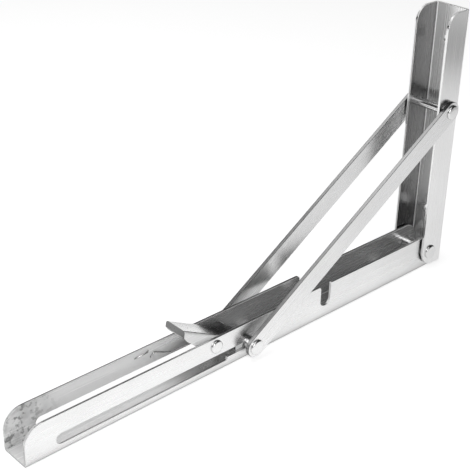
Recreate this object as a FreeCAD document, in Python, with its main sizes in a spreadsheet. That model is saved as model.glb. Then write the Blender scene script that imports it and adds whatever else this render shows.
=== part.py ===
import FreeCAD, Part
import Sketcher
import os
from math import acos, atan2, cos, degrees, hypot, pi, sin, tan

# Folding shelf bracket with two channel arms, two flat braces and a sprung latch.
# The shelf arm lies along X with its free end at -X, and the wall arm stands at +X.
# Z = 0 is the outer face of the shelf arm, and Y = 0 is the bracket's middle plane.

doc = FreeCAD.newDocument("folding_shelf_bracket")

# Driving dimensions in millimetres, one named cell each
SIZES = [
    ("reach", 400.0, "free end of the shelf arm to the wall plane"),
    ("rise", 213.3, "shelf plane to the top of the wall arm"),
    ("shelf_gauge", 2.0, "sheet of the shelf arm"),
    ("wall_gauge", 2.0, "sheet of the wall arm"),
    ("shelf_bend", 0.5, "inner radius of the shelf arm's bends"),
    ("wall_bend", 1.2, "inner radius of the wall arm's bends"),
    ("shelf_width", 24.5, "shelf arm across its flanges"),
    ("shelf_flange", 28.5, "shelf arm from its outer face to the flange edge"),
    ("wall_width", 31.0, "wall arm across its flanges"),
    ("wall_flange", 24.8, "wall arm from its outer face to the flange edge"),
    ("wall_lift", 3.0, "foot of the wall arm above the shelf plane"),
    ("end_radius", 14.0, "top corners of the shelf arm's free end"),
    ("wall_top_radius", 12.0, "front top corners of the wall arm"),
    ("wall_foot_radius", 14.0, "front foot corners of the wall arm"),
    ("pivot_back", 15.7, "main pivot from the wall plane"),
    ("pivot_height", 15.3, "main pivot above the shelf plane"),
    ("upper_back", 13.9, "upper brace rivet from the wall plane"),
    ("lock_reach", 213.8, "locked slide pin from the wall plane"),
    ("lock_height", 11.2, "slide pin above the shelf plane"),
    ("slide_pin_bore", 5.5, "diameter of the slide pin"),
    ("slot_fit", 0.05, "play of the slide pin above and below"),
    ("slot_drop", 2.3, "lower edge of the long slot below the lock pocket's"),
    ("pocket_length", 21.0, "lock pocket ahead of the locked pin"),
    ("slot_spare", 1.45, "slot left beyond the folded slide pin"),
    ("end_margin", 22.6, "shelf arm left beyond the slot at its free end"),
    ("notch_width", 10.4, "notch that takes the upper rivet when folded"),
    ("notch_floor", 10.9, "notch bottom above the shelf plane"),
    ("notch_radius", 4.6, "bottom corners of the notch"),
    ("notch_lead", 2.6, "rounded corner at the notch's mouth on the free end's side"),
    ("notch_corner", 1.2, "rounded corner at the notch's mouth on the wall's side"),
    ("brace_width", 16.0, "flat brace across"),
    ("brace_gauge", 3.0, "flat brace thickness"),
    ("running_fit", 0.08, "radial play of every turning pin"),
    ("side_play", 0.1, "play between turning faces"),
    ("pin_play", 0.3, "slide pin's end to the brace's inner face"),
    ("brace_washer_thickness", 1.05, "washer between wall arm and brace"),
    ("washer_bore_wall", 3.2, "ring width of each washer"),
    ("pivot_shank", 6.0, "main pivot rivet"),
    ("upper_shank", 6.0, "upper brace rivet in the wall arm and the brace"),
    ("upper_barrel", 7.0, "upper brace rivet between the wall arm's flanges"),
    ("sleeve_wall", 1.5, "spacer sleeve on the main pivot"),
    ("stud_shank", 5.2, "lower rivet end in the brace"),
    ("head_diameter", 11.4, "rivet heads on the arms and braces"),
    ("head_height", 1.8, "rivet heads on the arms and braces"),
    ("bush_diameter", 9.0, "spacer bush on the slide pin"),
    ("latch_ahead", 31.4, "latch rivet ahead of the locked slide pin"),
    ("latch_height", 21.55, "latch rivet above the shelf plane"),
    ("latch_shank", 5.0, "latch rivet"),
    ("latch_head", 9.8, "latch rivet head across"),
    ("latch_head_height", 1.6, "latch rivet head"),
    ("latch_gauge", 1.5, "sheet of the latch lever"),
    ("latch_side_play", 0.5, "latch lever to the shelf arm's inner faces"),
    ("tab_reach", 26.1, "tip of the finger tab ahead of the latch rivet"),
    ("tab_height", 21.9, "tip of the finger tab above the latch rivet"),
    ("lip_height", 4.9, "turned-down lip of the finger tab"),
    ("crease_height", 6.0, "crease of the lever above the latch rivet"),
    ("crease_back", 3.8, "crease of the lever behind the latch rivet"),
    ("crease_radius", 14.0, "bend of the crease on the upper side"),
    ("web_back", 18.6, "end of the lever's web behind the latch rivet"),
    ("web_back_height", 4.0, "end of the lever's web above the latch rivet"),
    ("nose_gap", 1.3, "nose of the latch to the locked slide pin"),
    ("nose_length", 6.4, "foot of the nose along the slot"),
    ("wall_clear", 1.0, "lever walls above the slide pin"),
    ("nose_drop", 5.65, "foot of the nose below the slide pin's top"),
    ("wire", 1.2, "spring wire"),
    ("coil_play", 0.3, "spring coil to the latch rivet"),
    ("coil_turns", 4, "whole turns of the spring"),
    ("anchor_reach", 40.9, "spring holes ahead of the latch rivet"),
    ("anchor_bore", 2.2, "spring holes in the far flange"),
    ("leg_dip", 5.05, "hooked leg below the latch rivet at its knee"),
    ("leg_knee", 24.6, "knee of the hooked leg ahead of the latch rivet"),
    ("leg_hump", 1.25, "hooked leg above the latch rivet just before the holes"),
    ("leg_end", 53.8, "end of the hooked leg ahead of the latch rivet"),
    ("fixing_bore", 9.0, "fixing holes in both arms"),
    ("fixing_rim", 9.8, "broken edges of the fixing holes across"),
    ("wall_hole_low", 44.0, "lower wall hole above the shelf plane"),
    ("wall_hole_high", 26.0, "upper wall hole below the top of the wall arm"),
    ("shelf_hole_front", 22.0, "first shelf hole from the free end"),
    ("shelf_hole_middle", 23.8, "middle shelf hole behind the locked slide pin"),
    ("shelf_hole_back", 40.0, "last shelf hole from the wall plane"),
    ("edge_ease", 0.3, "rounded edges of the sheet and the braces"),
]

sizes = doc.addObject("Spreadsheet::Sheet", "sizes")
for row, (alias, number, meaning) in enumerate(SIZES, start=1):
    sizes.set(f"A{row}", alias)
    sizes.set(f"B{row}", str(number))
    sizes.set(f"C{row}", meaning)
    sizes.setAlias(f"B{row}", alias)
doc.recompute()

# Places and sizes that follow from the cells, as expressions
WALL_X = "(sizes.reach / 2)"
FREE_X = "(-sizes.reach / 2)"
PIVOT_X = "(sizes.reach / 2 - sizes.pivot_back)"
PIVOT_Z = "sizes.pivot_height"
UPPER_X = "(sizes.reach / 2 - sizes.upper_back)"
LOCK_X = "(sizes.reach / 2 - sizes.lock_reach)"
LOCK_Z = "sizes.lock_height"
LATCH_X = "(sizes.reach / 2 - sizes.lock_reach - sizes.latch_ahead)"
LATCH_Z = "sizes.latch_height"
PIN_RADIUS = "(sizes.slide_pin_bore / 2)"
SLOT_START = f"({FREE_X} + sizes.end_margin)"
FOLDED_PIN_X = f"({SLOT_START} + sizes.slot_spare + {PIN_RADIUS})"

# Height of the upper brace rivet at which the folded braces reach just to the slot's end:
# with both pins on the shelf arm's line, the braces and the crank make up FOLDED_REACH
CRANK_IN = "(sizes.pivot_back - sizes.upper_back)"
BRACE_RUN = "(sizes.lock_reach - sizes.upper_back)"
FOLDED_UPPER_Z = f"({PIVOT_Z} + {CRANK_IN})"
FOLDED_DROP = f"({FOLDED_UPPER_Z} - {LOCK_Z})"
FOLDED_REACH = f"({PIVOT_X} + {PIVOT_Z} - {FOLDED_PIN_X})"
UPPER_Z = (f"(({FOLDED_REACH}^2 + {FOLDED_DROP}^2 - {BRACE_RUN}^2 - {LOCK_Z}^2)"
           f" / (2 * ({FOLDED_REACH} - {LOCK_Z})))")
CRANK_UP = f"({UPPER_Z} - {PIVOT_Z})"
FOLDED_UPPER_X = f"({PIVOT_X} - {CRANK_UP})"
BRACE_RISE = f"({UPPER_Z} - {LOCK_Z})"
BRACE_LENGTH = f"sqrt({BRACE_RUN}^2 + {BRACE_RISE}^2)"
SLOT_TOP = f"({LOCK_Z} + {PIN_RADIUS} + sizes.slot_fit)"
POCKET_FLOOR = f"({LOCK_Z} - {PIN_RADIUS} - sizes.slot_fit)"
SLOT_FLOOR = f"({POCKET_FLOOR} - sizes.slot_drop)"
POCKET_START = f"({LOCK_X} - sizes.pocket_length)"
SHELF_INNER = "(sizes.shelf_width / 2 - sizes.shelf_gauge)"
WALL_INNER = "(sizes.wall_width / 2 - sizes.wall_gauge)"
WALL_FACE_INSIDE = f"({WALL_X} - sizes.wall_gauge)"
WALL_FRONT = f"({WALL_X} - sizes.wall_flange)"
SHELF_END_RADIUS = "(sizes.shelf_flange - sizes.pivot_height)"
SHELF_END = f"({PIVOT_X} + {SHELF_END_RADIUS})"
BRACE_INSIDE = "(sizes.wall_width / 2 + sizes.brace_washer_thickness + sizes.side_play)"
BRACE_OUTSIDE = f"({BRACE_INSIDE} + sizes.brace_gauge)"
LATCH_HALF = f"({SHELF_INNER} - sizes.latch_side_play)"


def value(expression):
    """Give the number that an expression of the sizes has now."""
    found = sizes.evalExpression(expression)
    return float(getattr(found, "Value", found))


def new_body(label, place=None):
    """Start a part body with its label and, where given, its bound place."""
    body = doc.addObject("PartDesign::Body", label)
    body.Label = label
    for axis, expression in zip("xyz", place or ()):
        body.setExpression(f"Placement.Base.{axis}", expression)
    doc.recompute()
    return body


def new_sketch(body, name, plane, offset=None):
    """Add a sketch on one of the body's own planes, moved off it by an expression."""
    sketch = body.newObject("Sketcher::SketchObject", name)
    found = [item for item in body.Origin.OriginFeatures if item.Role == plane]
    sketch.AttachmentSupport = [(found[0], "")]
    sketch.MapMode = "FlatFace"
    if offset:
        sketch.setExpression("AttachmentOffset.Base.z", offset)
    doc.recompute()
    return sketch


def bind(sketch, kind, places, expression):
    """Add one dimension to a sketch and bind it to an expression."""
    index = sketch.addConstraint(Sketcher.Constraint(kind, *places, value(expression)))
    sketch.setExpression(f"Constraints[{index}]", expression)


def draw_outline(sketch, corners):
    """Draw a closed outline of straight lines through corners bound in X and Y."""
    points = [FreeCAD.Vector(value(x), value(y), 0) for x, y in corners]
    count = len(points)
    first = sketch.GeometryCount
    for index in range(count):
        line = Part.LineSegment(points[index], points[(index + 1) % count])
        sketch.addGeometry(line, False)
    for index in range(count):
        following = first + (index + 1) % count
        sketch.addConstraint(Sketcher.Constraint("Coincident", first + index, 2, following, 1))
    for index, (x, y) in enumerate(corners):
        bind(sketch, "DistanceX", (-1, 1, first + index, 1), x)
        bind(sketch, "DistanceY", (-1, 1, first + index, 1), y)


def draw_circle(sketch, x, y, diameter):
    """Draw a circle with its centre and diameter bound."""
    centre = FreeCAD.Vector(value(x), value(y), 0)
    circle = Part.Circle(centre, FreeCAD.Vector(0, 0, 1), value(diameter) / 2)
    index = sketch.addGeometry(circle, False)
    bind(sketch, "DistanceX", (-1, 1, index, 3), x)
    bind(sketch, "DistanceY", (-1, 1, index, 3), y)
    bind(sketch, "Diameter", (index,), diameter)


def finish_feature(feature, before, grows):
    """Recompute and make sure that the feature added or removed material."""
    doc.recompute()
    after = feature.Shape.Volume
    if grows and after <= before or not grows and after >= before:
        raise RuntimeError(f"{feature.Name} changed nothing")
    return feature


def pad(body, sketch, name, length, middle=False):
    """Pad a sketch by a bound length, to both sides where asked."""
    before = body.Shape.Volume if body.Tip else 0.0
    feature = body.newObject("PartDesign::Pad", name)
    feature.Profile = sketch
    feature.setExpression("Length", length)
    feature.SideType = "Symmetric" if middle else "One side"
    return finish_feature(feature, before, True)


def cut_through(body, sketch, name):
    """Cut a sketch through all, to both sides of its plane."""
    before = body.Shape.Volume
    feature = body.newObject("PartDesign::Pocket", name)
    feature.Profile = sketch
    feature.Type = "ThroughAll"
    feature.SideType = "Symmetric"
    return finish_feature(feature, before, False)


def cut_depth(body, sketch, name, depth, reverse=False):
    """Cut a sketch to a bound depth on one side of its plane."""
    before = body.Shape.Volume
    feature = body.newObject("PartDesign::Pocket", name)
    feature.Profile = sketch
    feature.setExpression("Length", depth)
    feature.Reversed = reverse
    return finish_feature(feature, before, False)


def edges_along(shape, axis, spots):
    """Name the straight edges along an axis that pass through the given spots."""
    others = [index for index in range(3) if index != axis]
    names = []
    for number, edge in enumerate(shape.Edges, start=1):
        if not isinstance(edge.Curve, Part.Line):
            continue
        start, end = edge.Vertexes[0].Point, edge.Vertexes[-1].Point
        if any(abs(start[index] - end[index]) > 1e-4 for index in others):
            continue
        for spot in spots:
            if all(abs(start[index] - place) < 1e-3 for index, place in zip(others, spot)):
                names.append(f"Edge{number}")
    return names


def rims(shape, diameter, axis, place):
    """Name the full round edges of a diameter that lie at a place along an axis."""
    names = []
    for number, edge in enumerate(shape.Edges, start=1):
        curve = edge.Curve
        if not isinstance(curve, Part.Circle) or abs(curve.Radius - diameter / 2) > 1e-3:
            continue
        if abs(curve.Center[axis] - place) < 1e-3 and len(edge.Vertexes) == 1:
            names.append(f"Edge{number}")
    return names


def round_edges(body, base, names, name, radius):
    """Round the named edges of a feature by a bound radius."""
    feature = body.newObject("PartDesign::Fillet", name)
    feature.Base = (base, names)
    feature.setExpression("Radius", radius)
    doc.recompute()
    return feature


def break_rims(body, base, names, name, sheet):
    """Break the named rims of the fixing holes, not deeper than the sheet."""
    feature = body.newObject("PartDesign::Chamfer", name)
    feature.Base = (base, names)
    feature.setExpression("Size", f"min((sizes.fixing_rim - sizes.fixing_bore) / 2; 0.96 * {sheet})")
    doc.recompute()
    return feature


# Shelf arm: a channel along X, open upwards
shelf_arm = new_body("shelf_arm")
half = "(sizes.shelf_width / 2)"
section = new_sketch(shelf_arm, "shelf_section", "YZ_Plane", FREE_X)
draw_outline(section, [
    (f"-{half}", "0"),
    (half, "0"),
    (half, "sizes.shelf_flange"),
    (SHELF_INNER, "sizes.shelf_flange"),
    (SHELF_INNER, "sizes.shelf_gauge"),
    (f"-{SHELF_INNER}", "sizes.shelf_gauge"),
    (f"-{SHELF_INNER}", "sizes.shelf_flange"),
    (f"-{half}", "sizes.shelf_flange"),
])
tip = pad(shelf_arm, section, "shelf_channel", f"{SHELF_END} - {FREE_X}")
inner = value(SHELF_INNER)
gauge = value("sizes.shelf_gauge")
edges = edges_along(tip.Shape, 0, [(inner, gauge), (-inner, gauge)])
tip = round_edges(shelf_arm, tip, edges, "shelf_bend_inside", "sizes.shelf_bend")
edges = edges_along(tip.Shape, 0, [(value(half), 0), (-value(half), 0)])
tip = round_edges(shelf_arm, tip, edges, "shelf_bend_outside", "sizes.shelf_bend + sizes.shelf_gauge")
flange_top = value("sizes.shelf_flange")
edges = edges_along(tip.Shape, 1, [(value(FREE_X), flange_top)])
tip = round_edges(shelf_arm, tip, edges, "free_end_corners", "sizes.end_radius")
edges = edges_along(tip.Shape, 1, [(value(SHELF_END), flange_top)])
tip = round_edges(shelf_arm, tip, edges, "pivot_end_corners", f"{SHELF_END_RADIUS} * 0.999")

# Long slot with the lock pocket at its wall end, through both flanges
track = new_sketch(shelf_arm, "slot_outline", "XZ_Plane")
POCKET_END = f"({LOCK_X} + {PIN_RADIUS} + sizes.slot_fit)"
draw_outline(track, [
    (SLOT_START, SLOT_FLOOR),
    (POCKET_START, SLOT_FLOOR),
    (POCKET_START, POCKET_FLOOR),
    (POCKET_END, POCKET_FLOOR),
    (POCKET_END, SLOT_TOP),
    (SLOT_START, SLOT_TOP),
])
tip = cut_through(shelf_arm, track, "slot")
start_x, top_z = value(SLOT_START), value(SLOT_TOP)
edges = edges_along(tip.Shape, 1, [(start_x, top_z), (start_x, value(SLOT_FLOOR))])
tip = round_edges(shelf_arm, tip, edges, "slot_end", f"({SLOT_TOP} - {SLOT_FLOOR}) / 2 * 0.98")
end_x = value(POCKET_END)
edges = edges_along(tip.Shape, 1, [(end_x, top_z), (end_x, value(POCKET_FLOOR))])
tip = round_edges(shelf_arm, tip, edges, "pocket_end", f"{PIN_RADIUS} * 0.96")
edges = edges_along(tip.Shape, 1, [(value(POCKET_START), value(SLOT_FLOOR))])
tip = round_edges(shelf_arm, tip, edges, "slot_step", "sizes.slot_drop * 0.6")

# Notch in the flange edges, open upwards, for the upper rivet of the folded wall arm
notch = new_sketch(shelf_arm, "notch_outline", "XZ_Plane")
NOTCH_MIDDLE = f"({FOLDED_UPPER_X} + 0.12 * sizes.notch_width)"
NOTCH_LEFT = f"({NOTCH_MIDDLE} - sizes.notch_width / 2)"
NOTCH_RIGHT = f"({NOTCH_MIDDLE} + sizes.notch_width / 2)"
draw_outline(notch, [
    (NOTCH_LEFT, "sizes.notch_floor"),
    (NOTCH_RIGHT, "sizes.notch_floor"),
    (NOTCH_RIGHT, "sizes.shelf_flange + sizes.shelf_gauge"),
    (NOTCH_LEFT, "sizes.shelf_flange + sizes.shelf_gauge"),
])
tip = cut_through(shelf_arm, notch, "notch")
floor = value("sizes.notch_floor")
edges = edges_along(tip.Shape, 1, [(value(NOTCH_LEFT), floor), (value(NOTCH_RIGHT), floor)])
tip = round_edges(shelf_arm, tip, edges, "notch_corners", "sizes.notch_radius")
for side, word, radius in ((NOTCH_LEFT, "left", "notch_lead"), (NOTCH_RIGHT, "right", "notch_corner")):
    edges = edges_along(tip.Shape, 1, [(value(side), flange_top)])
    tip = round_edges(shelf_arm, tip, edges, f"notch_mouth_{word}", f"sizes.{radius}")

# Rivet holes through both flanges
bores = new_sketch(shelf_arm, "rivet_holes", "XZ_Plane")
draw_circle(bores, PIVOT_X, PIVOT_Z, "sizes.pivot_shank + 2 * sizes.running_fit")
draw_circle(bores, LATCH_X, LATCH_Z, "sizes.latch_shank")
tip = cut_through(shelf_arm, bores, "rivet_bores")

# Two small holes in the far flange that hold the spring's hooked leg
ANCHOR_X = f"({LATCH_X} - sizes.anchor_reach)"
ANCHOR_Z = f"({LATCH_Z} + 0.5 * sizes.wire)"
ANCHOR_STEP_X = "(1.2 * sizes.wire)"
ANCHOR_STEP_Z = "(2.2 * sizes.wire)"
hooks = new_sketch(shelf_arm, "spring_holes", "XZ_Plane")
draw_circle(hooks, f"{ANCHOR_X} - {ANCHOR_STEP_X}", f"{ANCHOR_Z} + {ANCHOR_STEP_Z}", "sizes.anchor_bore")
draw_circle(hooks, f"{ANCHOR_X} + {ANCHOR_STEP_X}", f"{ANCHOR_Z} - {ANCHOR_STEP_Z}", "sizes.anchor_bore")
tip = cut_depth(shelf_arm, hooks, "spring_bores", "sizes.shelf_width")

# Fixing holes in the shelf arm's web, with their inner rims broken
holes = new_sketch(shelf_arm, "shelf_fixing_holes", "XY_Plane")
for along in (f"{FREE_X} + sizes.shelf_hole_front", f"{LOCK_X} + sizes.shelf_hole_middle",
              f"{WALL_X} - sizes.shelf_hole_back"):
    draw_circle(holes, along, "0", "sizes.fixing_bore")
tip = cut_depth(shelf_arm, holes, "shelf_fixing_bores", "sizes.shelf_gauge * 2", reverse=True)
edges = rims(tip.Shape, value("sizes.fixing_bore"), 2, gauge)
tip = break_rims(shelf_arm, tip, edges, "shelf_hole_rims", "sizes.shelf_gauge")
spots = [(y, flange_top) for y in (value(half), inner, -inner, -value(half))]
tip = round_edges(shelf_arm, tip, edges_along(tip.Shape, 0, spots), "shelf_edges", "sizes.edge_ease")

# Wall arm: a wider channel along Z that opens towards the free end
wall_arm = new_body("wall_arm")
half = "(sizes.wall_width / 2)"
section = new_sketch(wall_arm, "wall_section", "XY_Plane", "sizes.wall_lift")
draw_outline(section, [
    (WALL_X, f"-{half}"),
    (WALL_X, half),
    (WALL_FRONT, half),
    (WALL_FRONT, WALL_INNER),
    (WALL_FACE_INSIDE, WALL_INNER),
    (WALL_FACE_INSIDE, f"-{WALL_INNER}"),
    (WALL_FRONT, f"-{WALL_INNER}"),
    (WALL_FRONT, f"-{half}"),
])
tip = pad(wall_arm, section, "wall_channel", "sizes.rise - sizes.wall_lift")
inside, across = value(WALL_FACE_INSIDE), value(WALL_INNER)
edges = edges_along(tip.Shape, 2, [(inside, across), (inside, -across)])
tip = round_edges(wall_arm, tip, edges, "wall_bend_inside", "sizes.wall_bend")
edges = edges_along(tip.Shape, 2, [(value(WALL_X), value(half)), (value(WALL_X), -value(half))])
tip = round_edges(wall_arm, tip, edges, "wall_bend_outside", "sizes.wall_bend + sizes.wall_gauge")
edges = edges_along(tip.Shape, 1, [(value(WALL_FRONT), value("sizes.rise"))])
tip = round_edges(wall_arm, tip, edges, "wall_top_corners", "sizes.wall_top_radius")
edges = edges_along(tip.Shape, 1, [(value(WALL_FRONT), value("sizes.wall_lift"))])
tip = round_edges(wall_arm, tip, edges, "wall_foot_corners", "sizes.wall_foot_radius")
bores = new_sketch(wall_arm, "wall_rivet_holes", "XZ_Plane")
draw_circle(bores, PIVOT_X, PIVOT_Z, "sizes.pivot_shank")
draw_circle(bores, UPPER_X, UPPER_Z, "sizes.upper_shank")
tip = cut_through(wall_arm, bores, "wall_rivet_bores")
holes = new_sketch(wall_arm, "wall_fixing_holes", "YZ_Plane", WALL_X)
for height in ("sizes.wall_hole_low", "sizes.rise - sizes.wall_hole_high"):
    draw_circle(holes, "0", height, "sizes.fixing_bore")
tip = cut_depth(wall_arm, holes, "wall_fixing_bores", "sizes.wall_gauge * 2")
edges = rims(tip.Shape, value("sizes.fixing_bore"), 0, inside)
tip = break_rims(wall_arm, tip, edges, "wall_hole_rims", "sizes.wall_gauge")
spots = [(value(WALL_FRONT), y) for y in (value(half), across, -across, -value(half))]
tip = round_edges(wall_arm, tip, edges_along(tip.Shape, 2, spots), "wall_edges", "sizes.edge_ease")


def flat_brace(label, side):
    """Make one flat brace with round ends, standing from the slide pin to the upper rivet."""
    body = new_body(label, (LOCK_X, "0", LOCK_Z))
    plate = new_sketch(body, f"{label}_outline", "XZ_Plane", f"{-side} * {BRACE_INSIDE}")
    draw_outline(plate, [
        ("-sizes.brace_width / 2", "-sizes.brace_width / 2"),
        (f"{BRACE_LENGTH} + sizes.brace_width / 2", "-sizes.brace_width / 2"),
        (f"{BRACE_LENGTH} + sizes.brace_width / 2", "sizes.brace_width / 2"),
        ("-sizes.brace_width / 2", "sizes.brace_width / 2"),
    ])
    bar = pad(body, plate, f"{label}_plate", "sizes.brace_gauge")
    bar.Reversed = side > 0
    doc.recompute()
    middle = value("sizes.brace_width / 2")
    far_end = value(f"{BRACE_LENGTH} + sizes.brace_width / 2")
    spots = [(x, z) for x in (-middle, far_end) for z in (-middle, middle)]
    edges = edges_along(bar.Shape, 1, spots)
    ends = round_edges(body, bar, edges, f"{label}_ends", "sizes.brace_width / 2 * 0.999")
    faces = [side * value(place) for place in (BRACE_INSIDE, BRACE_OUTSIDE)]
    spots = [(y, z) for y in faces for z in (-middle, middle)]
    round_edges(body, ends, edges_along(ends.Shape, 0, spots), f"{label}_edges", "sizes.edge_ease")
    holes = new_sketch(body, f"{label}_holes", "XZ_Plane")
    draw_circle(holes, "0", "0", "sizes.stud_shank")
    draw_circle(holes, BRACE_LENGTH, "0", "sizes.upper_shank + 2 * sizes.running_fit")
    cut_through(body, holes, f"{label}_bores")
    lean = degrees(atan2(value(BRACE_RISE), value(BRACE_RUN)))
    body.Placement.Rotation = FreeCAD.Rotation(FreeCAD.Vector(0, -1, 0), lean)
    return body


def turned(label, place, outline, rim_diameter=None, rim_places=(), rim_radius="0"):
    """Turn a round part about the Y axis through a place, and round its head rims."""
    body = new_body(label, place)
    profile = new_sketch(body, f"{label}_profile", "XY_Plane")
    draw_outline(profile, outline)
    spin = body.newObject("PartDesign::Revolution", f"{label}_turning")
    spin.Profile = profile
    spin.ReferenceAxis = (profile, ["V_Axis"])
    spin.Angle = 360.0
    doc.recompute()
    names = []
    for spot in rim_places:
        names += rims(spin.Shape, value(rim_diameter or "1"), 1, value(spot))
    if names:
        round_edges(body, spin, names, f"{label}_rims", rim_radius)
    return body


def ring(label, place, bore, outside, low, high):
    """Turn a washer, bush or sleeve between two places along Y."""
    return turned(label, place, [
        (f"{bore} / 2", low),
        (f"{outside} / 2", low),
        (f"{outside} / 2", high),
        (f"{bore} / 2", high),
    ])


def rivet(label, place, shank, seat, head, height, barrel=None, barrel_end=None):
    """Turn a rivet with a domed head at each end, thicker between where asked."""
    end = f"({seat} + {height})"
    right = [
        (f"{shank} / 2", f"-{seat}"),
        (f"{shank} / 2", seat),
    ]
    if barrel:
        right = [
            (f"{shank} / 2", f"-{seat}"),
            (f"{shank} / 2", f"-{barrel_end}"),
            (f"{barrel} / 2", f"-{barrel_end}"),
            (f"{barrel} / 2", barrel_end),
            (f"{shank} / 2", barrel_end),
            (f"{shank} / 2", seat),
        ]
    outline = [("0", f"-{end}"), (f"{head} / 2", f"-{end}"), (f"{head} / 2", f"-{seat}")]
    outline += right
    outline += [(f"{head} / 2", seat), (f"{head} / 2", end), ("0", end)]
    return turned(label, place, outline, head, (end, f"-{end}"), f"{height} * 0.8")


pieces = [shelf_arm, wall_arm]
pieces.append(flat_brace("brace_near", -1))
pieces.append(flat_brace("brace_far", 1))

# Main pivot: rivet through both arms, sleeve between the shelf flanges, washer on each side
PIVOT = (PIVOT_X, "0", PIVOT_Z)
HEAD = "sizes.head_diameter"
HEAD_HEIGHT = "sizes.head_height"
pieces.append(rivet("pivot_rivet", PIVOT, "sizes.pivot_shank", "(sizes.wall_width / 2)", HEAD, HEAD_HEIGHT))
PIVOT_BORE = "(sizes.pivot_shank + 2 * sizes.running_fit)"
SLEEVE_END = f"({SHELF_INNER} - sizes.side_play)"
SLEEVE_OUTSIDE = f"({PIVOT_BORE} + 2 * sizes.sleeve_wall)"
pieces.append(ring("pivot_sleeve", PIVOT, PIVOT_BORE, SLEEVE_OUTSIDE, f"-{SLEEVE_END}", SLEEVE_END))
WASHER_OUTSIDE = f"({PIVOT_BORE} + 2 * sizes.washer_bore_wall)"
WASHER_LOW = "(sizes.shelf_width / 2 + sizes.side_play)"
for side, word in ((-1, "near"), (1, "far")):
    span = sorted((f"{side} * {WASHER_LOW}", f"{side} * {WALL_INNER}"), key=value)
    pieces.append(ring(f"pivot_washer_{word}", PIVOT, PIVOT_BORE, WASHER_OUTSIDE, *span))

# Upper brace rivet, with a washer between the wall arm and each brace
UPPER = (UPPER_X, "0", UPPER_Z)
UPPER_SEAT = f"({BRACE_OUTSIDE} + sizes.side_play)"
pieces.append(rivet("upper_rivet", UPPER, "sizes.upper_shank", UPPER_SEAT, HEAD, HEAD_HEIGHT,
                    "sizes.upper_barrel", WALL_INNER))
UPPER_BORE = "(sizes.upper_shank + 2 * sizes.running_fit)"
UPPER_WASHER = f"({UPPER_BORE} + 2 * sizes.washer_bore_wall)"
WASHER_HIGH = "(sizes.wall_width / 2 + sizes.brace_washer_thickness)"
for side, word in ((-1, "near"), (1, "far")):
    span = sorted((f"{side} * sizes.wall_width / 2", f"{side} * {WASHER_HIGH}"), key=value)
    pieces.append(ring(f"brace_washer_{word}", UPPER, UPPER_BORE, UPPER_WASHER, *span))

# Slide pin across the slots, with a spacer bush outside each flange
LOCK = (LOCK_X, "0", LOCK_Z)
PIN_END = f"({BRACE_INSIDE} - sizes.pin_play)"
pieces.append(turned("slide_pin", LOCK, [
    ("0", f"-{PIN_END}"),
    (PIN_RADIUS, f"-{PIN_END}"),
    (PIN_RADIUS, PIN_END),
    ("0", PIN_END),
]))
BUSH_LOW = "(sizes.shelf_width / 2 + sizes.side_play)"
BUSH_BORE = "(sizes.slide_pin_bore + 2 * sizes.slot_fit)"
for side, word in ((-1, "near"), (1, "far")):
    span = sorted((f"{side} * {BUSH_LOW}", f"{side} * {PIN_END}"), key=value)
    pieces.append(ring(f"slide_bush_{word}", LOCK, BUSH_BORE, "sizes.bush_diameter", *span))

# Lower rivet ends: a domed head and a stub in each brace, in line with the slide pin
for side, word in ((-1, "near"), (1, "far")):
    outer_end = f"({side} * ({BRACE_OUTSIDE} + {HEAD_HEIGHT}))"
    stud = [
        ("0", f"{side} * {BRACE_INSIDE}"),
        ("sizes.stud_shank / 2", f"{side} * {BRACE_INSIDE}"),
        ("sizes.stud_shank / 2", f"{side} * {BRACE_OUTSIDE}"),
        (f"{HEAD} / 2", f"{side} * {BRACE_OUTSIDE}"),
        (f"{HEAD} / 2", outer_end),
        ("0", outer_end),
    ]
    pieces.append(turned(f"lower_rivet_{word}", LOCK, stud, HEAD, (outer_end,), f"{HEAD_HEIGHT} * 0.8"))

# Latch rivet through the shelf arm and the lever
LATCH = (LATCH_X, "0", LATCH_Z)
pieces.append(rivet("latch_rivet", LATCH, "sizes.latch_shank", "(sizes.shelf_width / 2)",
                    "sizes.latch_head", "sizes.latch_head_height"))

# Latch lever: one folded sheet whose two walls end in the nose ahead of the slide pin.
# Its corners are given from the latch rivet, X towards the wall and Z up.
latch = new_body("latch_lever", LATCH)
NOSE_FRONT = f"({LOCK_X} - {LATCH_X} - {PIN_RADIUS} - sizes.nose_gap)"
PIN_TOP = f"({LOCK_Z} + {PIN_RADIUS} - {LATCH_Z})"
NOSE_FOOT = f"({PIN_TOP} - sizes.nose_drop)"
NOSE_TOE = f"({NOSE_FRONT} - 0.6 * sizes.nose_gap)"
NOSE_HEEL = f"({NOSE_TOE} - sizes.nose_length)"
WALL_LOW = f"({PIN_TOP} + sizes.wall_clear)"
TAB_X = "(-sizes.tab_reach)"
CHEEK = (f"0.94 * {TAB_X}", "0.61 * sizes.tab_height")
CREASE = ("sizes.crease_back", "sizes.crease_height")
walls = new_sketch(latch, "lever_outline", "XZ_Plane")
draw_outline(walls, [
    (TAB_X, "sizes.tab_height"),
    CREASE,
    ("sizes.web_back", "sizes.web_back_height"),
    (f"{NOSE_FRONT} - 0.35 * sizes.slide_pin_bore", f"{PIN_TOP} + 1.1 * sizes.slide_pin_bore"),
    (f"{NOSE_FRONT} + 0.45 * sizes.nose_gap", PIN_TOP),
    (NOSE_TOE, NOSE_FOOT),
    (NOSE_HEEL, NOSE_FOOT),
    (NOSE_HEEL, WALL_LOW),
    ("-sizes.latch_shank / 2", WALL_LOW),
    CHEEK,
    (f"{TAB_X} - 0.18 * sizes.lip_height", "sizes.tab_height - sizes.lip_height"),
])
tip = pad(latch, walls, "lever_block", f"2 * {LATCH_HALF}", middle=True)
edges = edges_along(tip.Shape, 1, [(value(CREASE[0]), value(CREASE[1]))])
tip = round_edges(latch, tip, edges, "crease_bend", "sizes.crease_radius")
edges = edges_along(tip.Shape, 1, [(value(CHEEK[0]), value(CHEEK[1]))])
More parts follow.
